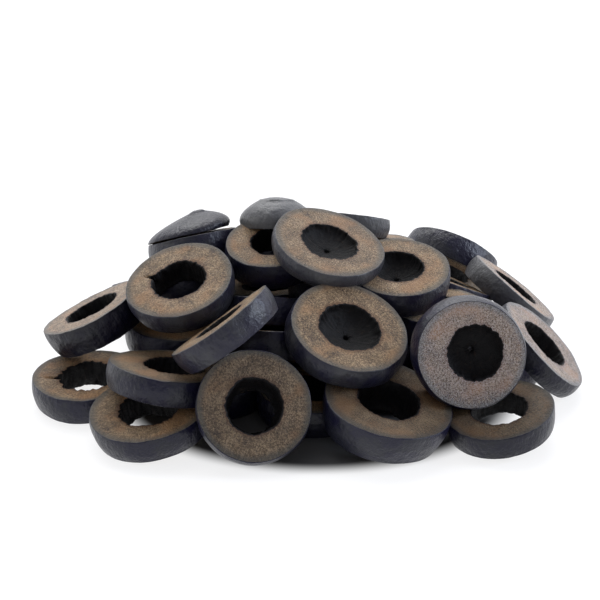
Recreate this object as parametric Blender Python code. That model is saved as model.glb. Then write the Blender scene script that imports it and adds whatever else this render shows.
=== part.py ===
"""A loose heap of sliced, pitted black olives, as it lies on a table.

Every slice is a ring: an outer band of skin, two cut faces and the hole the pit left.
The rings are fused to a low core with a flat underside, so the heap is one solid.
"""

from collections import namedtuple
from math import cos, pi, radians, sin

import bmesh
import bpy
from mathutils import Matrix, Vector

MM = 0.001
NAME = "olive_rings"

# A ring is given by its face, the cut side that shows: width of the face and of the cut behind it,
# thickness, centre of the face, lean of its axis from upright and the side it leans toward
# (0 is +X, 90 is away from the viewer), and the hole's share of the width. Then, where they differ
# from the usual: how far the skin stands out between the cuts, and how far the face has slid sideways
# over the cut behind it, as on a slanted end slice. Millimetres and degrees.
Ring = namedtuple("Ring", "face back thick x y z lean toward hole bulge slide", defaults=(0.3, 0.0))

FRONT_ROW = [
    Ring(15.7, 15.2, 3.9, -32.3, -9.5, 4.5, 4, -140, 0.50),
    Ring(16.9, 15.6, 3.8, -22.5, -21.9, 5.2, 9, -137, 0.50),
    Ring(15.8, 14.6, 4.0, -7.7, -27.4, 8.3, 51, -81, 0.49),
    Ring(15.5, 15.2, 4.0, 0.3, -13.5, 4.2, 0, 0, 0.50),
    Ring(18.1, 16.2, 5.1, 10.8, -23.1, 7.1, 15, -40, 0.48),
    Ring(15.4, 14.8, 3.4, 26.2, -21.5, 5.0, 10, -137, 0.50, 0.15),
    Ring(16.0, 15.5, 3.0, 34.2, -5.5, 7.6, 44, -4, 0.50),
]
SECOND_LAYER = [
    Ring(15.7, 14.7, 4.2, -32.1, -1.5, 11.5, 27, 167, 0.52),
    Ring(16.6, 16.2, 3.7, -20.0, -17.4, 9.7, 12, 57, 0.50),
    Ring(15.0, 15.0, 4.0, -19.6, 0.0, 8.9, 0, 100, 0.50),
    Ring(15.0, 15.0, 4.0, -6.0, -8.5, 10.8, 26, 80, 0.50),
    Ring(16.2, 15.2, 3.6, -12.6, -19.4, 17.3, 39.5, 158, 0.45),
    Ring(16.9, 17.2, 3.4, 5.5, -16.0, 14.85, 26, -57, 0.50),
    Ring(15.3, 15.7, 4.0, 22.25, -20.5, 12.65, 75, -82, 0.50),
    Ring(14.4, 14.4, 3.0, 21.1, 11.5, 10.5, 27, 38, 0.50),
    Ring(15.6, 15.0, 3.3, 31.85, 14.5, 8.0, 40, 13, 0.50),
]
TOP = [
    Ring(15.8, 14.8, 3.6, -18.9, -6.7, 18.1, 22, -125, 0.49),
    Ring(15.0, 15.0, 4.0, -6.5, -2.5, 13.3, 26, 90, 0.50),
    Ring(15.4, 15.0, 3.8, 12.6, -1.5, 18.1, 11, -80, 0.50),
    Ring(14.7, 14.4, 3.8, -5.1, 2.0, 20.6, 10, -109, 0.50),
    Ring(16.4, 15.8, 2.7, 2.8, -2.0, 22.1, 19, -43, 0.50),
    Ring(13.4, 13.4, 3.8, -17.8, 10.0, 18.25, 23, 122, 0.50),
    Ring(2.6, 12.6, 3.1, -19.0, 11.0, 21.2, 25, 124, 0.40, 0.7, -2.75),
    Ring(4.4, 10.9, 3.0, -5.2, 10.2, 23.9, 22, 90, 0.40, 1.2),
    Ring(12.7, 11.8, 3.0, 5.8, 13.0, 20.4, 23, 75, 0.50),
    Ring(14.6, 15.0, 4.2, 23.2, 28.0, 8.8, 45, 60, 0.50),
]
BACK = [
    Ring(15.5, 15.0, 4.0, -20.0, 10.0, 4.1, 0, 0, 0.50),
    Ring(15.5, 15.0, 4.0, 17.2, 8.7, 4.1, 0, 0, 0.50),
    Ring(15.5, 15.0, 4.2, -23.5, 20.5, 7.3, 28, 115, 0.50),
    Ring(16.2, 15.4, 4.0, -8.5, 25.5, 7.6, 33, 95, 0.50),
    Ring(15.8, 15.2, 4.0, 7.0, 25.5, 5.9, 14, 70, 0.50),
    Ring(12.4, 12.0, 3.4, 19.9, 22.1, 3.7, 0, 0, 0.50),
    Ring(15.2, 15.0, 4.0, -19.5, 6.0, 14.3, 20, 120, 0.50),
    Ring(15.2, 15.0, 4.0, -6.5, 12.5, 9.0, 10, 100, 0.50),
    Ring(15.4, 15.0, 3.8, 10.5, 11.0, 9.0, 10, 70, 0.50),
    Ring(15.4, 15.0, 3.8, -6.5, 13.3, 15.3, 18, 110, 0.50),
    Ring(12.6, 12.4, 3.8, -3.6, 16.5, 18.3, 18, 40, 0.50),
    Ring(15.0, 15.0, 3.8, 4.5, 7.0, 13.0, 8, 80, 0.50),
    Ring(15.0, 15.0, 3.8, 8.5, 13.2, 16.5, 15, 80, 0.50),
    Ring(15.0, 15.0, 4.0, 19.2, -2.5, 12.2, 3, 20, 0.50),
]
INSIDE = [
    Ring(15.5, 15.0, 4.0, -14.2, -8.2, 4.0, 0, 0, 0.50),
    Ring(15.8, 15.0, 4.0, -3.5, 16.3, 4.0, 0, 0, 0.50),
    Ring(15.0, 15.0, 4.0, 1.5, 2.5, 4.0, 0, 0, 0.50),
    Ring(14.5, 14.5, 4.0, 14.5, -6.5, 4.0, 0, 0, 0.50),
    Ring(13.0, 13.0, 4.0, 27.5, -0.5, 4.0, 0, 0, 0.50),
    Ring(15.0, 15.0, 4.0, 7.5, -3.5, 8.4, 3, -60, 0.50),
    Ring(14.0, 14.0, 4.0, 22.5, 1.0, 8.1, 0, 0, 0.50),
]

FRONT_SIDES = 22
BACK_SIDES = 18
INSIDE_SIDES = 14
BAND_STEPS = (0.5,)  # points on the skin between the cuts, as shares of the thickness
CAP_STEPS = (0.15, 0.4, 0.7)  # the same on an olive's end, which widens by more than CAP_TAPER
CAP_TAPER = 2.0

CORE_REACH = (27.0, 18.0)  # half width and half depth of the core at the table
CORE_HEIGHT = 9.0
CORE_SUNK = 6.0  # how far the core's ellipsoid goes on below the table
CORE_SIDES = 24
CORE_RINGS = 10

CENTRE = (-0.1, 0.6)  # middle of the heap's box, in the rings' own millimetres


def skin_points(ring):
    """Radius and height of each point of the skin between the two cuts."""
    steps = CAP_STEPS if ring.back - ring.face > CAP_TAPER else BAND_STEPS
    face, back = ring.face / 2, ring.back / 2
    return [(face + (back - face) * share + ring.bulge * 4 * share * (1 - share), -ring.thick * share)
            for share in steps]


def ring_profile(ring):
    """Cross-section of the ring from the hole's edge on the face, round the skin and back."""
    face, back = ring.face / 2, ring.back / 2
    inner = [(face * ring.hole, 0.0), (face, 0.0)]
    outer = [(back, -ring.thick), (back * ring.hole, -ring.thick)]
    return inner + skin_points(ring) + outer


def ring_place(ring):
    """Slides the face of a ring that lies at the origin, then leans the ring and moves it to its place."""
    slide = Matrix(((1, 0, 0, 0), (0, 1, ring.slide / ring.thick, ring.slide), (0, 0, 1, 0), (0, 0, 0, 1)))
    lean = Matrix.Rotation(radians(ring.lean), 4, "Y")
    toward = Matrix.Rotation(radians(ring.toward), 4, "Z")
    move = Matrix.Translation((ring.x, ring.y, ring.z))
    return move @ toward @ lean @ slide


def add_ring(ring, sides, collection):
    """One slice as its own object, ready to be fused."""
    bm = bmesh.new()
    corners = [bm.verts.new((radius, 0.0, height)) for radius, height in ring_profile(ring)]
    edges = [bm.edges.new((a, b)) for a, b in zip(corners, corners[1:] + corners[:1])]
    bmesh.ops.spin(bm, geom=corners + edges, cent=(0, 0, 0), axis=(0, 0, 1),
                   angle=2 * pi, steps=sides, use_merge=True)
    bmesh.ops.recalc_face_normals(bm, faces=bm.faces)
    bm.transform(Matrix.Scale(MM, 4) @ ring_place(ring))
    return add_object(bm, "slice", collection)


def add_core(collection):
    """The low mound inside the heap: the part of an ellipsoid that is above the table."""
    half_height = CORE_HEIGHT + CORE_SUNK
    spread = (1 - (CORE_SUNK / half_height) ** 2) ** 0.5
    bm = bmesh.new()
    bmesh.ops.create_uvsphere(bm, u_segments=CORE_SIDES, v_segments=CORE_RINGS, radius=1.0)
    size = Matrix.Diagonal((CORE_REACH[0] / spread, CORE_REACH[1] / spread, half_height, 1.0))
    bm.transform(Matrix.Translation((0, 0, -CORE_SUNK)) @ size)
    everything = bm.verts[:] + bm.edges[:] + bm.faces[:]
    cut = bmesh.ops.bisect_plane(bm, geom=everything, plane_co=(0, 0, 0), plane_no=(0, 0, 1),
                                 clear_inner=True)
    rim = [item for item in cut["geom_cut"] if isinstance(item, bmesh.types.BMEdge)]
    bmesh.ops.contextual_create(bm, geom=rim)
    bmesh.ops.recalc_face_normals(bm, faces=bm.faces)
    bm.transform(Matrix.Scale(MM, 4))
    return add_object(bm, NAME, collection)


def add_object(bm, name, collection):
    mesh = bpy.data.meshes.new(name)
    bm.to_mesh(mesh)
    bm.free()
    obj = bpy.data.objects.new(name, mesh)
    collection.objects.link(obj)
    return obj


def fuse(core, slices):
    """Joins every slice in the collection to the core with one Boolean union, then drops the slices."""
    union = core.modifiers.new("fuse", "BOOLEAN")
    union.operation = "UNION"
    union.solver = "EXACT"
    union.operand_type = "COLLECTION"
    union.collection = slices
    union.use_self = True
    bpy.context.view_layer.update()
    evaluated = core.evaluated_get(bpy.context.evaluated_depsgraph_get())
    fused = bpy.data.meshes.new_from_object(evaluated)
    core.modifiers.clear()
    core.data = fused
    for obj in list(slices.objects):
        bpy.data.objects.remove(obj)
    bpy.data.collections.remove(slices)


def shells(bm):
    """The mesh's separate closed surfaces, each as a list of its faces, the largest first."""
    left = set(bm.faces)
    found = []
    while left:
        shell = [left.pop()]
        for face in shell:
            for edge in face.edges:
                for beside in edge.link_faces:
                    if beside in left:
                        left.remove(beside)
                        shell.append(beside)
        found.append(shell)
    return sorted(found, key=len, reverse=True)


def keep_outer_shell(obj):
    """Fills hollows that the fusing sealed and drops loose scraps: only the outer surface is left."""
    bm = bmesh.new()
    bm.from_mesh(obj.data)
    bmesh.ops.triangulate(bm, faces=bm.faces)
    for shell in shells(bm)[1:]:
        bmesh.ops.delete(bm, geom=shell, context="FACES")
    loose = [vert for vert in bm.verts if not vert.link_faces]
    bmesh.ops.delete(bm, geom=loose, context="VERTS")
    bm.transform(Matrix.Translation(Vector((-CENTRE[0], -CENTRE[1], 0.0)) * MM))
    bm.to_mesh(obj.data)
    bm.free()


def olive_material():
    material = bpy.data.materials.new("black_olive")
    material.use_nodes = True
    surface = material.node_tree.nodes["Principled BSDF"]
    surface.inputs["Base Color"].default_value = (0.045, 0.034, 0.028, 1.0)
    surface.inputs["Roughness"].default_value = 0.45
    surface.inputs["Metallic"].default_value = 0.0
    return material


def build():
    for obj in list(bpy.data.objects):
        bpy.data.objects.remove(obj)
    slices = bpy.data.collections.new("slices")
    bpy.context.scene.collection.children.link(slices)
    for ring in FRONT_ROW + SECOND_LAYER + TOP:
        add_ring(ring, FRONT_SIDES, slices)
    for ring in BACK:
        add_ring(ring, BACK_SIDES, slices)
    for ring in INSIDE:
        add_ring(ring, INSIDE_SIDES, slices)
    heap = add_core(bpy.context.scene.collection)
    fuse(heap, slices)
    keep_outer_shell(heap)
    heap.data.materials.clear()
    heap.data.materials.append(olive_material())


build()
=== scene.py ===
from math import atan2, cos, hypot, pi, radians, sin

import bmesh
import bpy
from mathutils import Matrix, Vector, noise


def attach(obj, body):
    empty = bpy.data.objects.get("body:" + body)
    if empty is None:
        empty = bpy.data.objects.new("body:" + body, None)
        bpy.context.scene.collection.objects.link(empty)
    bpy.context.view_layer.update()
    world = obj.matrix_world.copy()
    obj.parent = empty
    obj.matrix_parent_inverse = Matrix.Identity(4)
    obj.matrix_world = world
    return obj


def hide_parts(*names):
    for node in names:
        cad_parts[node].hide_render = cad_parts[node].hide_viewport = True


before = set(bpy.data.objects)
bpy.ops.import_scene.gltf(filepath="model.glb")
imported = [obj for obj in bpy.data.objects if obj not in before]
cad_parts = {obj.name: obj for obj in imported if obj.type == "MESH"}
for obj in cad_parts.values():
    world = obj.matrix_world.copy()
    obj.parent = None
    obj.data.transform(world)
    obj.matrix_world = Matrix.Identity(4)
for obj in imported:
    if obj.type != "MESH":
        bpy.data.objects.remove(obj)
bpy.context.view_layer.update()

mm = 0.001
heapShift = Vector((0.1, -0.6, 0.0))  # mm from the slices' own middle to the frame's origin

# A slice is: its letter, the width of its face and of the cut behind it, its thickness, the
# centre of the face (mm), the lean of its axis from upright and the side that it leans toward
# (degrees, 0 is +X, 90 is away from the viewer), the hole's share of the width, and its own marks.
# Sides are the steps round each slice. The marks are those below, and two more that are worked out
# where they aren't given: backHole, the hole's share of the width at the back, which is small where
# the hollow ends in the slice, and oval, a share of the radius and an angle.

plainMarks = {
    "bulge": 0.3,  # mm that the skin stands out between the cuts
    "crown": 0.0,  # mm that an end slice rises to its middle, with skin all over its upper half
    "slide": 0.0,  # mm that the face has slid sideways over the back
    "holeShift": (0.0, 0.0),  # mm from the slice's middle to its hole's
    "ragged": 0.2,  # mm, the jags at the hole's edge
    "wrinkled": 0.06,  # how deep the skin is folded
    "cracks": [],  # tears at the hole: angle, share of the cut that they reach over, width, depth
    "look": (1.0, 0.0, 1.0),  # the flesh's brightness, partly its own tone and partly painted shade and sheen; its share of painted sheen and glints; the skin's brightness, painted shade below 1 and a painted highlight above
}

frontRow = {
    "name": "slicesFrontRow",
    "sides": 144,
    "slices": [
        ("A", 15.7, 15.2, 3.9, (-32.3, -9.5, 4.5), 4, -140, 0.53,
         {"ragged": 0.5, "holeShift": (0.1, 0.5), "cracks": [(-36, 0.6, 0.3, 1.2)]}),
        ("F", 16.9, 15.6, 3.8, (-22.5, -21.9, 5.2), 9, -137, 0.50,
         {"ragged": 0.3, "look": (0.86, 0.0, 0.9)}),
        ("G", 15.8, 14.6, 4.0, (-7.7, -27.4, 8.3), 51, -81, 0.49,
         {"ragged": 0.16, "backHole": 0.42, "look": (0.57, 0.0, 0.9)}),
        ("W", 15.5, 15.2, 4.0, (0.3, -13.5, 4.2), 0, 0, 0.50, {}),
        ("P", 18.1, 16.2, 5.1, (10.8, -23.1, 7.1), 15, -40, 0.48, {"look": (0.52, 0.0, 1.0)}),
        ("Q", 15.4, 14.8, 3.4, (26.2, -21.5, 5.0), 10, -137, 0.50,
         {"bulge": 0.15, "look": (0.40, 0.0, 0.7)}),
        ("R", 16.0, 15.5, 3.0, (34.2, -5.5, 7.6), 44, -4, 0.50, {"look": (1.45, 0.7, 0.8)}),
    ],
}

secondLayer = {
    "name": "slicesSecondLayer",
    "sides": 144,
    "slices": [
        ("B", 15.7, 14.7, 4.2, (-32.1, -1.5, 11.5), 27, 167, 0.52,
         {"wrinkled": 0.35, "look": (1.25, 0.25, 0.6)}),
        ("E", 16.6, 16.2, 3.7, (-20.0, -17.4, 9.7), 12, 57, 0.50,
         {"holeShift": (0.6, -0.7), "look": (0.75, 0.0, 0.9)}),
        ("Z", 15.0, 15.0, 4.0, (-19.6, 0.0, 8.9), 0, 100, 0.50, {}),
        ("W2", 15.0, 15.0, 4.0, (-6.0, -8.5, 10.8), 26, 80, 0.50, {}),
        ("D", 16.2, 15.2, 3.6, (-12.6, -19.4, 17.3), 39.5, 158, 0.45,
         {"wrinkled": 0.3, "look": (1.0, 0.0, 2.2)}),
        ("N", 16.9, 17.2, 3.4, (5.5, -16.0, 14.85), 26, -57, 0.50,
         {"backHole": 0.05, "look": (0.98, 0.0, 2.3)}),
        ("O", 15.3, 15.7, 4.0, (22.25, -20.5, 12.65), 75, -82, 0.50,
         {"oval": (0.02, 45), "holeShift": (-0.3, 0.45), "backHole": 0.05,
          "look": (1.25, 0.7, 1.0)}),
        ("U", 14.4, 14.4, 3.0, (21.1, 11.5, 10.5), 27, 38, 0.50, {}),
        ("T", 15.6, 15.0, 3.3, (31.85, 14.5, 8.0), 40, 13, 0.50, {"look": (1.5, 0.6, 3.8)}),
    ],
}

topLayer = {
    "name": "slicesTop",
    "sides": 144,
    "slices": [
        ("C", 15.8, 14.8, 3.6, (-18.9, -6.7, 18.1), 22, -125, 0.49,
         {"ragged": 0.22, "cracks": [(-80, 0.38, 0.34, 1.2)], "look": (0.92, 0.0, 2.4)}),
        ("c1", 15.0, 15.0, 4.0, (-6.5, -2.5, 13.3), 26, 90, 0.50, {}),
        ("M", 15.4, 15.0, 3.8, (12.6, -1.5, 18.1), 11, -80, 0.50,
         {"backHole": 0.05, "look": (1.0, 0.0, 1.8)}),
        ("I", 14.7, 14.4, 3.8, (-5.1, 2.0, 20.6), 10, -109, 0.50, {}),
        ("J", 16.4, 15.8, 2.7, (2.8, -2.0, 22.1), 19, -43, 0.50,
         {"ragged": 0.26, "backHole": 0.05, "look": (0.95, 0.05, 3.4)}),
        ("H2", 13.4, 13.4, 3.8, (-17.8, 10.0, 18.25), 23, 122, 0.50, {"look": (1.0, 0.0, 1.6)}),
        ("H", 2.6, 12.6, 3.1, (-19.0, 11.0, 21.2), 25, 124, 0.20,
         {"bulge": 1.4, "slide": -2.3, "crown": 0.35, "ragged": 0.0, "look": (1.0, 0.0, 0.7)}),
        ("K", 5.4, 10.4, 4.3, (-5.0, 10.2, 23.9), 22, 90, 0.20,
         {"bulge": 1.3, "crown": 0.45, "ragged": 0.0, "look": (1.0, 0.0, 4.6)}),
        ("L", 12.7, 11.8, 3.0, (5.8, 13.0, 20.4), 23, 75, 0.50, {"look": (2.5, 0.8, 4.0)}),
        ("S", 14.6, 15.0, 4.2, (23.2, 28.0, 8.8), 45, 60, 0.50, {"look": (1.0, 0.0, 1.6)}),
    ],
}

backSlices = {
    "name": "slicesBack",
    "sides": 112,
    "slices": [
        ("V2", 15.5, 15.0, 4.0, (-20.0, 10.0, 4.1), 0, 0, 0.50, {}),
        ("V6", 15.5, 15.0, 4.0, (17.2, 8.7, 4.1), 0, 0, 0.50, {}),
        ("b1", 15.5, 15.0, 4.2, (-23.5, 20.5, 7.3), 28, 115, 0.50, {}),
        ("b2", 16.2, 15.4, 4.0, (-8.5, 25.5, 7.6), 33, 95, 0.50, {}),
        ("b3", 15.8, 15.2, 4.0, (7.0, 25.5, 5.9), 14, 70, 0.50, {}),
        ("b4", 12.4, 12.0, 3.4, (19.9, 22.1, 3.7), 0, 0, 0.50, {}),
        ("c3", 15.2, 15.0, 4.0, (-19.5, 6.0, 14.3), 20, 120, 0.50, {}),
        ("c4", 15.2, 15.0, 4.0, (-6.5, 12.5, 9.0), 10, 100, 0.50, {}),
        ("c6", 15.4, 15.0, 3.8, (10.5, 11.0, 9.0), 10, 70, 0.50, {}),
        ("e1", 15.4, 15.0, 3.8, (-6.5, 13.3, 15.3), 18, 110, 0.50, {}),
        ("e3", 12.6, 12.4, 3.8, (-3.6, 16.5, 18.3), 18, 40, 0.50, {}),
        ("e2", 15.0, 15.0, 3.8, (4.5, 7.0, 13.0), 8, 80, 0.50, {"look": (0.3, 0.0, 0.7)}),
        ("e4", 15.0, 15.0, 3.8, (8.5, 13.2, 16.5), 15, 80, 0.50, {}),
        ("c5", 15.0, 15.0, 4.0, (19.2, -2.5, 12.2), 3, 20, 0.50, {}),
    ],
}

innerSlices = {
    "name": "slicesInside",
    "sides": 96,
    "slices": [
        ("V1", 15.5, 15.0, 4.0, (-14.2, -8.2, 4.0), 0, 0, 0.50, {}),
        ("V3", 15.8, 15.0, 4.0, (-3.5, 16.3, 4.0), 0, 0, 0.50, {}),
        ("V4", 15.0, 15.0, 4.0, (1.5, 2.5, 4.0), 0, 0, 0.50, {}),
        ("V5", 14.5, 14.5, 4.0, (14.5, -6.5, 4.0), 0, 0, 0.50, {}),
        ("V7", 13.0, 13.0, 4.0, (27.5, -0.5, 4.0), 0, 0, 0.50, {}),
        ("c2", 15.0, 15.0, 4.0, (7.5, -3.5, 8.4), 3, -60, 0.50, {}),
        ("V8", 14.0, 14.0, 4.0, (22.5, 1.0, 8.1), 0, 0, 0.50, {}),
    ],
}

section = {
    "rim": 0.13,  # mm, radius where the skin turns over to a cut
    "crownRim": 0.3,  # share of it that is left under a crown
    "lip": 0.2,  # mm, radius at the hole's edge
    "closedBelow": 0.3,  # a hole whose share at the back is less than this ends in the slice
    "closedFloor": 0.34,  # shares of the thickness, where the wall of such a hole starts
    "openFloor": 0.1,  # and that of a hole right through
    "cutSteps": 11,
    "turnSteps": 3,
    "skinSteps": 8,
    "wallSteps": 7,
    "cutMargin": 0.1,  # share of a cut that flesh runs on for, over the rim and into the hole
}


def sliceSection(face, back, thick, hole, backHole, bulge, crown):
    # radius, height and "across" round the section: across is -1 on the hole's wall,
    # 0 to 1 from the hole to the rim of a cut, and 2 on the skin
    rim, lip = section["rim"], section["lip"]
    turns = section["turnSteps"]
    rimShare = section["crownRim"] if crown else 1
    points = []

    def cut(outer, height, holeShare, rise):
        inner = outer * holeShare + lip
        span = outer - rim - inner
        made = []
        for i in range(section["cutSteps"] + 1):
            radius = inner + span * i / section["cutSteps"]
            made.append((radius, height + rise * (1 - (radius / outer) ** 2), i / section["cutSteps"]))
        return made

    points += cut(face, 0.0, hole, crown)
    for i in range(1, turns):  # over the rim
        angle = pi / 2 * i / turns
        points.append((face - rim * (1 - sin(angle)), -rim * (1 - cos(angle)) * rimShare, 1 + i / turns))
    start = rimShare * rim
    for i in range(section["skinSteps"] + 1):
        t = i / section["skinSteps"]
        radius = face + (back - face) * t + bulge * 4 * t * (1 - t)
        points.append((radius, -start - (thick - rim - start) * t, 2.0))
    for i in range(turns - 1, 0, -1):
        angle = pi / 2 * i / turns
        points.append((back - rim + rim * sin(angle), rim - thick - rim * cos(angle), 1 + i / turns))
    points += reversed(cut(back, -thick, backHole, 0.0))
    for i in range(1, turns):  # into the hole
        angle = pi / 2 * i / turns
        points.append((back * backHole + lip * (1 - sin(angle)), lip - thick - lip * cos(angle), -i / turns))
    points.append((backHole * back, lip - thick, -1.0))
    floor = section["closedFloor" if backHole < section["closedBelow"] else "openFloor"] * thick
    for i in range(section["wallSteps"]):
        angle = pi / 2 * i / (section["wallSteps"] - 1)
        radius = backHole * back + (hole * face - backHole * back) * sin(angle)
        points.append((radius, floor - thick + (thick - lip - floor) * (1 - cos(angle)), -1.0))
    for i in range(turns - 1, 0, -1):
        angle = pi / 2 * i / turns
        points.append((face * hole + lip - lip * sin(angle), -lip + lip * cos(angle), -i / turns))
    return points


unevenness = {
    "oval": 0.012,  # shares of the radius
    "outline": 0.012,
    "holeOutline": 0.055,
    "warp": 0.16,  # mm, at warpRadius from the slice's middle
    "warpRadius": 7.5,
    "cutRelief": 0.07,  # mm
    "skinRelief": 0.09,
    "wallRelief": 0.16,
    "holeEdge": 0.16,  # share of the cut that is ragged, beside the hole
    "fineJags": 0.7,  # beside the coarse ones
    "foldWidth": 0.35,
    "cutFineness": (0.5, 1.9, 2.3),  # lumps, pits and crumbs
    "pits": 0.6,  # beside the lumps
    "crumbs": 1.2,
    "skinFineness": 0.35,
    "wallFineness": 0.9,
    "lumpy": (1.0, 2.0, 3),  # fractal noise: its dimension, the step between its layers, their number
    "ovalTurn": 40,  # degrees from one slice to the next
    "warpTurn": 2.399,  # radians
    "noiseStep": 31.0,  # mm
}

noiseRound = {  # how fine it is round and along the slice, its step from slice to slice, its start
    "outline": (1.6, 0.0, 7.1, 0),
    "holeOutline": (1.7, 0.12, 3.7, 20),
    "jags": (7.0, 0.5, 5.3, 0),
    "fineJags": (17.0, 1.1, 9.1, 4),
    "folds": (9.0, 0.35, 2.9, 50),
}

tear = {
    "tip": 0.35,  # shares of its width
    "slope": 1.6,
    "inWall": 0.9,  # share of its depth
}


def turnedNoise(kind, angle, z, seed):
    # noise that closes on itself round the slice
    size, alongSize, step, start = noiseRound[kind]
    return noise.noise(Vector((cos(angle) * size, sin(angle) * size, z * alongSize + (seed * step + start))))


def crackAt(cracks, angle, radius, across):
    # how deep a tear from the hole cuts here, mm
    deepest = 0.0
    for crackAngle, reach, width, depth in cracks:
        away = abs((angle - radians(crackAngle) + pi) % (2 * pi) - pi) * radius
        along = max(0.0, 1 - max(across, 0.0) / reach)
        slope = width * (tear["tip"] + (1 - tear["tip"]) * along) * tear["slope"]
        if away < slope and along > 0:
            deepest = max(deepest, depth * along ** 0.5 * max(0.0, 1 - away / slope))
    return deepest


def makeUneven(bm, marks, thick, seed):
    acrossLayer = bm.verts.layers.float["across"]
    ownPlace = bm.verts.layers.float_vector["inSlice"]
    ownLook = bm.verts.layers.float_vector["look"]
    oval, ovalAngle = marks["oval"]
    shiftX, shiftY = marks["holeShift"]
    warpAngle = unevenness["warpTurn"] * seed
    noiseHeight = unevenness["noiseStep"] * seed
    for vert in bm.verts:
        x, y, z = vert.co
        angle, radius = atan2(y, x), hypot(x, y)
        across = vert[acrossLayer]
        outward = min(max(across, 0.0), 1.0)
        onSkin = min(max(across - 1.0, 0.0), 1.0)
        onWall = min(max(-across, 0.0), 1.0)
        onCut = 1.0 - onSkin - onWall
        outline = (1 + oval * cos(2 * (angle - radians(ovalAngle)))
                   + unevenness["outline"] * turnedNoise("outline", angle, z, seed))
        holeOutline = 1 + unevenness["holeOutline"] * turnedNoise("holeOutline", angle, z, seed)
        nearHole = max(0.0, 1 - outward / unevenness["holeEdge"]) if onSkin == 0 else 0.0
        jag = marks["ragged"] * nearHole * (
            turnedNoise("jags", angle, z, seed)
            + unevenness["fineJags"] * turnedNoise("fineJags", angle, z, seed))
        grown = radius * (holeOutline + (outline - holeOutline) * outward) + jag
        spot = Vector((x, y, z + noiseHeight))
        if onSkin:
            fold = abs(turnedNoise("folds", angle, z, seed))
            relief = unevenness["skinRelief"] * noise.noise(spot * unevenness["skinFineness"])
            grown += onSkin * (relief - marks["wrinkled"] * max(0.0, unevenness["foldWidth"] - fold))
        if onWall:
            lumps = noise.fractal(spot * unevenness["wallFineness"], *unevenness["lumpy"])
            grown += onWall * unevenness["wallRelief"] * lumps
        rise = (unevenness["warp"] * (radius / unevenness["warpRadius"]) ** 2
                * cos(2 * (angle - warpAngle)))
        side = 1.0 if z > -thick / 2 else -1.0
        if onCut > 0:
            lumps, pits, crumbs = [noise.noise(spot * fineness) for fineness in unevenness["cutFineness"]]
            rise += side * onCut * unevenness["cutRelief"] * (
                lumps + unevenness["pits"] * pits - unevenness["crumbs"] * nearHole * abs(crumbs))
        torn = crackAt(marks["cracks"], angle, radius, across) if side > 0 and not onSkin else 0.0
        if torn:
            if onWall:
                grown += torn * tear["inWall"]
            else:
                rise -= torn
        x = grown * cos(angle) + shiftX * (1 - outward)
        y = grown * sin(angle) + shiftY * (1 - outward) + marks["slide"] * (1 + z / thick)
        vert.co = (x, y, z + rise)
        vert[ownPlace] = (x, y, z + noiseHeight)
        vert[ownLook] = marks["look"]


def makeSlice(entry, sides, seed):
    letter, face, back, thick, centre, lean, toward, hole, ownMarks = entry
    plainOval = unevenness["oval"] * noise.noise(Vector((seed, 0.3, 0.7)))
    marks = {**plainMarks, "backHole": hole, "oval": (plainOval, unevenness["ovalTurn"] * seed), **ownMarks}
    crown = marks["crown"]
    bm = bmesh.new()
    acrossLayer = bm.verts.layers.float.new("across")
    bm.verts.layers.float_vector.new("inSlice")
    bm.verts.layers.float_vector.new("look")
    ring = []
    for radius, height, across in sliceSection(face / 2, back / 2, thick, hole,
                                               marks["backHole"], marks["bulge"], crown):
        vert = bm.verts.new((radius, 0.0, height))
        vert[acrossLayer] = across
        ring.append(vert)
    edges = [bm.edges.new((a, b)) for a, b in zip(ring, ring[1:] + ring[:1])]
    bmesh.ops.spin(bm, geom=ring + edges, cent=(0, 0, 0), axis=(0, 0, 1), angle=2 * pi,
                   steps=sides, use_merge=True)
    bmesh.ops.recalc_face_normals(bm, faces=bm.faces)
    flesh, skin, wall = 0, 1, 2  # the materials' places in makeLayer's list
    for quad in bm.faces:
        across = sum(vert[acrossLayer] for vert in quad.verts) / len(quad.verts)
        if crown and quad.calc_center_median().z > -thick / 2:
            quad.material_index = skin
        elif -section["cutMargin"] < across < 1 + section["cutMargin"]:
            quad.material_index = flesh
        else:
            quad.material_index = skin if across > 0 else wall
        quad.smooth = True
    makeUneven(bm, marks, thick, seed)
    place = (Matrix.Translation(Vector(centre) + heapShift)
             @ Matrix.Rotation(radians(toward), 4, "Z") @ Matrix.Rotation(radians(lean), 4, "Y"))
    bm.transform(Matrix.Scale(mm, 4) @ place)
    for vert in bm.verts:  # nothing goes under the table
        vert.co.z = max(vert.co.z, 0.0)
    mesh = bpy.data.meshes.new(letter)
    bm.to_mesh(mesh)
    bm.free()
    return mesh


def makeLayer(layer, firstSeed, materials):
    bm = bmesh.new()
    for number, entry in enumerate(layer["slices"]):
        mesh = makeSlice(entry, layer["sides"], firstSeed + number)
        bm.from_mesh(mesh)
        bpy.data.meshes.remove(mesh)
    made = bpy.data.meshes.new(layer["name"])
    bm.to_mesh(made)
    bm.free()
    dress(made, layer["name"], materials)


def dress(mesh, name, materials):
    piece = bpy.data.objects.new(name, mesh)
    bpy.context.scene.collection.objects.link(piece)
    for material in materials:
        mesh.materials.append(material)
    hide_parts("olive_rings")
    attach(piece, "root")
    print(name, len(mesh.polygons), "faces")


core = {
    "name": "heapCore",
    "middle": (-1.0, 2.5, 0.0),  # mm
    "reach": (17.0, 10.0, 6.5),
    "lumps": 0.12,  # share of the reach
    "lumpFineness": 3.0,
    "underside": 0.02,  # mm, where it is cut flat
}


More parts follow.
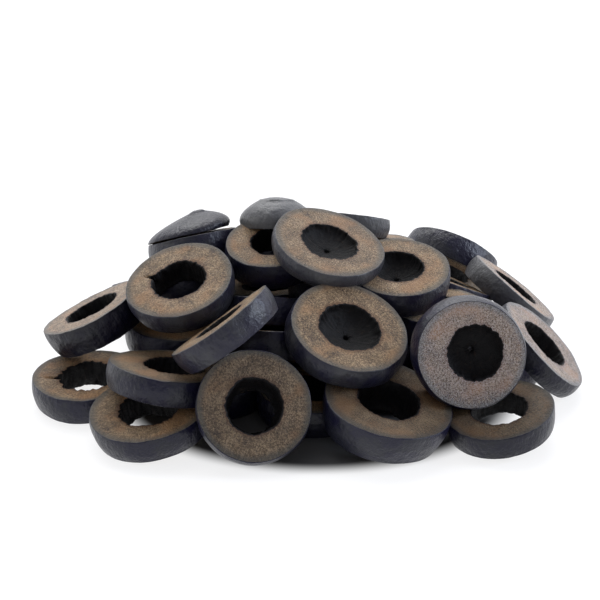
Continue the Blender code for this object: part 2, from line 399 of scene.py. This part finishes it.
def makeCore(material):
    bm = bmesh.new()
    bmesh.ops.create_icosphere(bm, subdivisions=5, radius=1.0)
    for vert in bm.verts:
        push = 1 + core["lumps"] * noise.fractal(vert.co * core["lumpFineness"], *unevenness["lumpy"])
        vert.co = Vector([a * b * push for a, b in zip(vert.co, core["reach"])])
    everything = bm.verts[:] + bm.edges[:] + bm.faces[:]
    cut = bmesh.ops.bisect_plane(bm, geom=everything, plane_co=(0, 0, core["underside"]),
                                 plane_no=(0, 0, 1), clear_inner=True)
    rim = [item for item in cut["geom_cut"] if isinstance(item, bmesh.types.BMEdge)]
    bmesh.ops.contextual_create(bm, geom=rim)
    bmesh.ops.recalc_face_normals(bm, faces=bm.faces)
    for face in bm.faces:
        face.smooth = len(face.verts) < 5  # all but the underside
    bm.transform(Matrix.Scale(mm, 4) @ Matrix.Translation(Vector(core["middle"]) + heapShift))
    mesh = bpy.data.meshes.new(core["name"])
    bm.to_mesh(mesh)
    bm.free()
    dress(mesh, core["name"], [material])


class Wire:
    # a node's output; reckoning with it adds Math nodes
    def __init__(self, board, socket):
        self.board, self.socket = board, socket

    def reckon(self, operation, first, second):
        return self.board.node("Math", {"operation": operation}, {0: first, 1: second})

    def __add__(self, other):
        return self.reckon("ADD", self, other)

    def __radd__(self, other):
        return self.reckon("ADD", other, self)

    def __sub__(self, other):
        return self.reckon("SUBTRACT", self, other)

    def __rsub__(self, other):
        return self.reckon("SUBTRACT", other, self)

    def __mul__(self, other):
        return self.reckon("MULTIPLY", self, other)

    def __rmul__(self, other):
        return self.reckon("MULTIPLY", other, self)


class Board:
    # the nodes of a material or of the world, which feed its shader
    def __init__(self, owner, shader="Principled BSDF"):
        owner.use_nodes = True
        self.owner, self.tree = owner, owner.node_tree
        self.shader = self.tree.nodes[shader]

    def node(self, kind, settings, sockets, output=0):
        made = self.tree.nodes.new("ShaderNode" + kind)
        for name, value in settings.items():
            if name == "stops":
                while len(made.color_ramp.elements) < len(value):
                    made.color_ramp.elements.new(0.5)
                for element, (position, colour) in zip(made.color_ramp.elements, value):
                    element.position = position
                    element.color = (*colour, 1.0)
            else:
                setattr(made, name, value)
        for name, value in sockets.items():
            self.feed(made.inputs[name], value)
        return Wire(self, made.outputs[output])

    def feed(self, socket, value):
        if isinstance(value, Wire):
            self.tree.links.new(value.socket, socket)
        elif socket.type == "RGBA":
            socket.default_value = (*value, 1.0)
        else:
            socket.default_value = value

    def finish(self, values):
        for name, value in values.items():
            self.feed(self.shader.inputs[name], value)
        return self.owner


def grainOf(board, place, settings):
    fineness, detail, roughness = settings
    return board.node("TexNoise", {}, {"Vector": place, "Scale": fineness, "Detail": detail,
                                       "Roughness": roughness})


def between(board, value, edges):
    # 0 below the first edge, 1 above the second, smooth between
    return board.node("MapRange", {"interpolation_type": "SMOOTHSTEP"},
                      {"Value": value, "From Min": edges[0], "From Max": edges[1]})


def mixed(board, share, first, second):
    return board.node("Mix", {"data_type": "RGBA"}, {0: share, 6: first, 7: second}, 2)


def dimmed(board, colour, share):
    return board.node("VectorMath", {"operation": "SCALE"}, {0: colour, "Scale": share})


def ownPlaceOf(board):
    return board.node("Attribute", {"attribute_name": "inSlice"}, {}, 1)


def lookOf(board, number):
    look = board.node("Attribute", {"attribute_name": "look"}, {}, 1)
    return board.node("SeparateXYZ", {}, {0: look}, number)


def aroundTheSlice(board, place, fineness, stretch, climb=0.7):
    # a place that runs round the slice finely, and slowly from the hole outward and along the axis
    flat = board.node("VectorMath", {"operation": "MULTIPLY"}, {0: place, 1: (1.0, 1.0, 0.0)})
    radius = board.node("VectorMath", {"operation": "LENGTH"}, {0: flat}, 1)
    direction = board.node("VectorMath", {"operation": "NORMALIZE"}, {0: flat})
    wide = board.node("VectorMath", {"operation": "SCALE"}, {0: direction, "Scale": fineness})
    height = board.node("SeparateXYZ", {}, {0: place}, 2)
    along = board.node("CombineXYZ", {}, {2: radius * stretch + height * climb})
    return board.node("VectorMath", {"operation": "ADD"}, {0: wide, 1: along})


# A grain is how fine its noise is to the mm, its detail and its roughness. Edges are the two
# values that a patch fades in between, and a share is how much of its colour shows at most.

fleshLook = {
    "stops": [(0.28, (0.027, 0.015, 0.008)), (0.42, (0.125, 0.077, 0.039)),
              (0.55, (0.235, 0.157, 0.085)), (0.74, (0.475, 0.340, 0.203))],
    "grain": (4.2, 3.0, 0.65),
    "fine": (11.0, 2.0, 0.6),
    "streaks": (1.0, 2.0, 0.6),
    "clouds": (0.42, 2.0, 0.5),
    "patches": (0.25, 1.0, 0.5),
    "streakShape": (26.0, 0.9),  # round the slice, and from the hole outward
    "streakEdges": (0.45, 0.8),
    "tone": {"middle": 0.49, "clouds": 0.4, "grain": 1.05, "streaks": 0.5, "fine": 1.1},
    "tan": {"colour": (0.310, 0.155, 0.060), "edges": (0.48, 0.70), "share": 0.5, "grain": 0.3},
    "rim": {"colour": (0.066, 0.066, 0.058), "edges": (0.68, 0.96), "share": 0.75,
            "clouds": 0.3, "grain": 0.15},
    "lip": {"colour": (0.090, 0.036, 0.012), "edges": (-0.02, 0.17), "share": 0.85, "grain": 0.25},
    # painted sheen: specks of a pale bluish colour that stand in for glints and a wet sheen on the cut
    "paintedSheen": {"colour": (0.36, 0.37, 0.42), "edges": (0.42, 0.62), "grain": 0.5},
    "relief": {"grain": 0.9, "streaks": 0.5, "fine": 0.5},
    "bump": {"Strength": 0.8, "Distance": 0.00028},
    "roughness": (0.30, 0.28),  # at the least, and what the grain adds
    "specular": 0.36,
}


def fleshMaterial():
    board = Board(bpy.data.materials.new("cutFlesh"))
    place = ownPlaceOf(board)
    across = board.node("Attribute", {"attribute_name": "across"}, {}, 2)
    grain = grainOf(board, place, fleshLook["grain"])
    fine = grainOf(board, place, fleshLook["fine"])
    streaks = grainOf(board, aroundTheSlice(board, place, *fleshLook["streakShape"]), fleshLook["streaks"])
    clouds = grainOf(board, place, fleshLook["clouds"])
    patches = grainOf(board, place, fleshLook["patches"])
    outer = between(board, across, fleshLook["streakEdges"])
    tone, tan, rim, lip, paintedSheen, relief = [
        fleshLook[name] for name in ("tone", "tan", "rim", "lip", "paintedSheen", "relief")]
    level = (tone["middle"] + (clouds - 0.5) * tone["clouds"] + (grain - 0.5) * tone["grain"]
             + (streaks - 0.5) * outer * tone["streaks"] + (fine - 0.5) * tone["fine"])
    colour = board.node("ValToRGB", {"stops": fleshLook["stops"]}, {0: level})
    tanned = between(board, patches + (grain - 0.5) * tan["grain"], tan["edges"])
    colour = mixed(board, tanned * tan["share"], colour, tan["colour"])
    rimmed = between(board, across + (clouds - 0.5) * rim["clouds"] + (grain - 0.5) * rim["grain"],
                     rim["edges"])
    colour = mixed(board, rimmed * rim["share"], colour, rim["colour"])
    lipped = 1 - between(board, across + (grain - 0.5) * lip["grain"], lip["edges"])
    colour = mixed(board, lipped * lip["share"], colour, lip["colour"])
    toneAndPaintedLight, paintedSheenShare = lookOf(board, 0), lookOf(board, 1)
    # each slice's flesh brightness: partly its own tone, partly painted shade on the low front slices and
    # painted sheen on grazing ones
    colour = dimmed(board, colour, toneAndPaintedLight)
    # painted glints and sheen, mixed in by the slice's share of painted sheen
    paintedGlints = between(board, fine + (grain - 0.5) * paintedSheen["grain"], paintedSheen["edges"])
    colour = mixed(board, paintedGlints * paintedSheenShare, colour, paintedSheen["colour"])
    height = grain * relief["grain"] + streaks * relief["streaks"] + fine * relief["fine"]
    smoothest, added = fleshLook["roughness"]
    return board.finish({
        "Base Color": colour,
        "Roughness": smoothest + grain * added,
        "Normal": board.node("Bump", {}, {**fleshLook["bump"], "Height": height}),
        "Specular IOR Level": fleshLook["specular"]})


skinLook = {
    "dark": (0.0045, 0.0045, 0.0190),
    "green": {"colour": (0.0110, 0.0120, 0.0200), "edges": (0.42, 0.62)},
    "purple": {"colour": (0.0110, 0.0090, 0.0310), "edges": (0.45, 0.7), "share": 0.5},
    # painted highlight: a pale grey mixed into the skin where the slice's skin brightness is over 1
    "paintedHighlight": {"colour": (0.100, 0.101, 0.104), "edges": (1.0, 6.0), "clouds": 3.0},
    "clouds": (0.3, 2.0, 0.5),
    "pores": (3.2, 3.0, 0.6),
    "lines": (1.0, 3.0, 0.6),
    "dents": (0.9, 2.0, 0.5),
    "lineShape": (14.0, 0.2),  # round the slice, and from the hole outward
    "relief": {"lines": 0.7, "pores": 0.5, "dents": 1.3},
    "bump": {"Strength": 0.75, "Distance": 0.00020},
    "roughness": (0.20, 0.22),  # at the least, and what the pores add
    "specular": 0.36,
}


def skinMaterial():
    board = Board(bpy.data.materials.new("oliveSkin"))
    place = ownPlaceOf(board)
    clouds = grainOf(board, place, skinLook["clouds"])
    pores = grainOf(board, place, skinLook["pores"])
    lines = grainOf(board, aroundTheSlice(board, place, *skinLook["lineShape"]), skinLook["lines"])
    green, purple, paintedHighlight, relief = [skinLook[name] for name in ("green", "purple", "paintedHighlight", "relief")]
    colour = mixed(board, between(board, clouds, green["edges"]), skinLook["dark"], green["colour"])
    colour = mixed(board, between(board, pores, purple["edges"]) * purple["share"], colour,
                   purple["colour"])
    # the skin's brightness per slice: below 1 it paints shade, above 1 it fades to the painted highlight
    toneAndPaintedLight = lookOf(board, 2)
    colour = dimmed(board, colour, toneAndPaintedLight.reckon("MINIMUM", toneAndPaintedLight, 1.0))
    paintedHighlightShare = between(board, toneAndPaintedLight + (clouds - 0.5) * paintedHighlight["clouds"], paintedHighlight["edges"])
    colour = mixed(board, paintedHighlightShare, colour, paintedHighlight["colour"])
    dents = grainOf(board, place, skinLook["dents"])
    height = lines * relief["lines"] + pores * relief["pores"] + dents * relief["dents"]
    smoothest, added = skinLook["roughness"]
    return board.finish({
        "Base Color": colour,
        "Roughness": smoothest + pores * added,
        "Normal": board.node("Bump", {}, {**skinLook["bump"], "Height": height}),
        "Specular IOR Level": skinLook["specular"]})


wallLook = {
    "stops": [(0.3, (0.0015, 0.0015, 0.0025)), (0.58, (0.004, 0.0035, 0.004)),
              (0.80, (0.030, 0.016, 0.008))],
    "lumps": (1.4, 3.0, 0.6),
    "fine": (6.0, 2.0, 0.6),
    "tone": {"lumps": 0.7, "fine": 0.3},
    "fineRelief": 0.4,  # beside the lumps
    "bump": {"Strength": 0.8, "Distance": 0.0003},
    "roughness": (0.5, 0.2),  # at the least, and what the fine grain adds
    "specular": 0.2,
}


def wallMaterial():
    board = Board(bpy.data.materials.new("pitHole"))
    place = ownPlaceOf(board)
    lumps = grainOf(board, place, wallLook["lumps"])
    fine = grainOf(board, place, wallLook["fine"])
    tone = wallLook["tone"]
    level = lumps * tone["lumps"] + fine * tone["fine"]
    height = lumps + fine * wallLook["fineRelief"]
    smoothest, added = wallLook["roughness"]
    return board.finish({
        "Base Color": board.node("ValToRGB", {"stops": wallLook["stops"]}, {0: level}),
        "Roughness": smoothest + fine * added,
        "Normal": board.node("Bump", {}, {**wallLook["bump"], "Height": height}),
        "Specular IOR Level": wallLook["specular"]})


studio = {
    "target": (-1.4, -5.1, 14.0),  # mm, what the camera looks at
    "distance": 300.0,  # mm
    "elevation": 23.5,
    "lens": 124.2,
    "sensor": 36.0,
    "nearest": 0.01,  # m, where the camera starts to see
    "lamps": [  # name, strength, width in degrees, where it shines from, colour
        ("overheadSoft", 2.0, 55, (-0.12, 0.62, 0.77), (1.0, 1.0, 1.0)),
        ("leftSoft", 0.6, 40, (-0.90, -0.10, 0.42), (1.0, 1.0, 0.90)),
        ("rightSoft", 1.7, 24, (0.89, 0.08, 0.45), (0.75, 0.84, 1.0)),
    ],
    "front": (0.42, 0.42, 0.46),
    "back": (1.0, 1.01, 1.05),
    "backEdges": (-0.4, 0.75),  # where the front's light turns to the back's
    "tableReach": 3.0,  # m
    "table": (0.24, 0.24, 0.24),
    # painted shade under the heap: a darker table colour there, and no glow
    "tableShadedUnderHeap": (0.11, 0.11, 0.11),
    "tableGlow": (0.80, 0.80, 0.805),  # the lit white table, so that shadows on it stay small
    "glowGap": (1.0, -4.0, 31.0, 28.3),  # mm, middle and reach of the part under the heap that has no glow: painted shade under the heap
    "gapEdges": (0.88, 1.02),  # shares of that reach
    "tableRoughness": 0.7,
    "tableSpecular": 0.1,
}


def makeFloor():
    bm = bmesh.new()
    bmesh.ops.create_grid(bm, x_segments=1, y_segments=1, size=studio["tableReach"])
    mesh = bpy.data.meshes.new("floor")
    bm.to_mesh(mesh)
    bm.free()
    floor = bpy.data.objects.new("floor", mesh)
    bpy.context.scene.collection.objects.link(floor)
    board = Board(bpy.data.materials.new("floorWhite"))
    place = board.node("TexCoord", {}, {}, 3)
    middleX, middleY, reachX, reachY = [mm * a for a in studio["glowGap"]]
    fromMiddle = board.node("VectorMath", {"operation": "SUBTRACT"}, {0: place, 1: (middleX, middleY, 0.0)})
    shares = board.node("VectorMath", {"operation": "DIVIDE"}, {0: fromMiddle, 1: (reachX, reachY, 1.0)})
    away = board.node("VectorMath", {"operation": "LENGTH"}, {0: shares}, 1)
    outside = between(board, away, studio["gapEdges"])
    # painted shade: under the heap the table is darker and has no glow
    mesh.materials.append(board.finish({
        "Emission Color": mixed(board, outside, (0.0, 0.0, 0.0), studio["tableGlow"]),
        "Base Color": mixed(board, outside, studio["tableShadedUnderHeap"], studio["table"]),
        "Emission Strength": 1.0,
        "Roughness": studio["tableRoughness"],
        "Specular IOR Level": studio["tableSpecular"]}))


def makeLight():
    board = Board(bpy.data.worlds.new("softLight"), "Background")
    bpy.context.scene.world = board.owner
    direction = board.node("TexCoord", {}, {})
    toBack = board.node("SeparateXYZ", {}, {0: direction}, 1)
    backShare = between(board, toBack, studio["backEdges"])
    board.finish({"Color": mixed(board, backShare, studio["front"], studio["back"])})
    for name, strength, wide, comesFrom, colour in studio["lamps"]:
        lamp = bpy.data.lights.new(name, "SUN")
        lamp.energy = strength
        lamp.angle = radians(wide)
        lamp.color = colour
        lampObject = bpy.data.objects.new(name, lamp)
        lampObject.rotation_mode = "QUATERNION"
        lampObject.rotation_quaternion = Vector(comesFrom).to_track_quat("Z", "Y")
        bpy.context.scene.collection.objects.link(lampObject)


def makeCamera():
    camera = bpy.data.cameras.new("camera")
    camera.lens = studio["lens"]
    camera.sensor_width = studio["sensor"]
    camera.clip_start = studio["nearest"]
    eye = bpy.data.objects.new("camera", camera)
    tilt = radians(studio["elevation"])
    back = Vector((0.0, -cos(tilt), sin(tilt)))
    eye.location = (Vector(studio["target"]) + back * studio["distance"]) * mm
    eye.rotation_mode = "QUATERNION"
    eye.rotation_quaternion = back.to_track_quat("Z", "Y")
    bpy.context.scene.collection.objects.link(eye)
    bpy.context.scene.camera = eye


bpy.context.scene.view_settings.view_transform = "Standard"
makeFloor()
makeLight()
makeCamera()
print("studio ready")

flesh, skin, wall = fleshMaterial(), skinMaterial(), wallMaterial()
seed = 1
for layer in (frontRow, secondLayer, topLayer, backSlices, innerSlices):
    makeLayer(layer, seed, [flesh, skin, wall])
    seed += len(layer["slices"])
makeCore(skin)
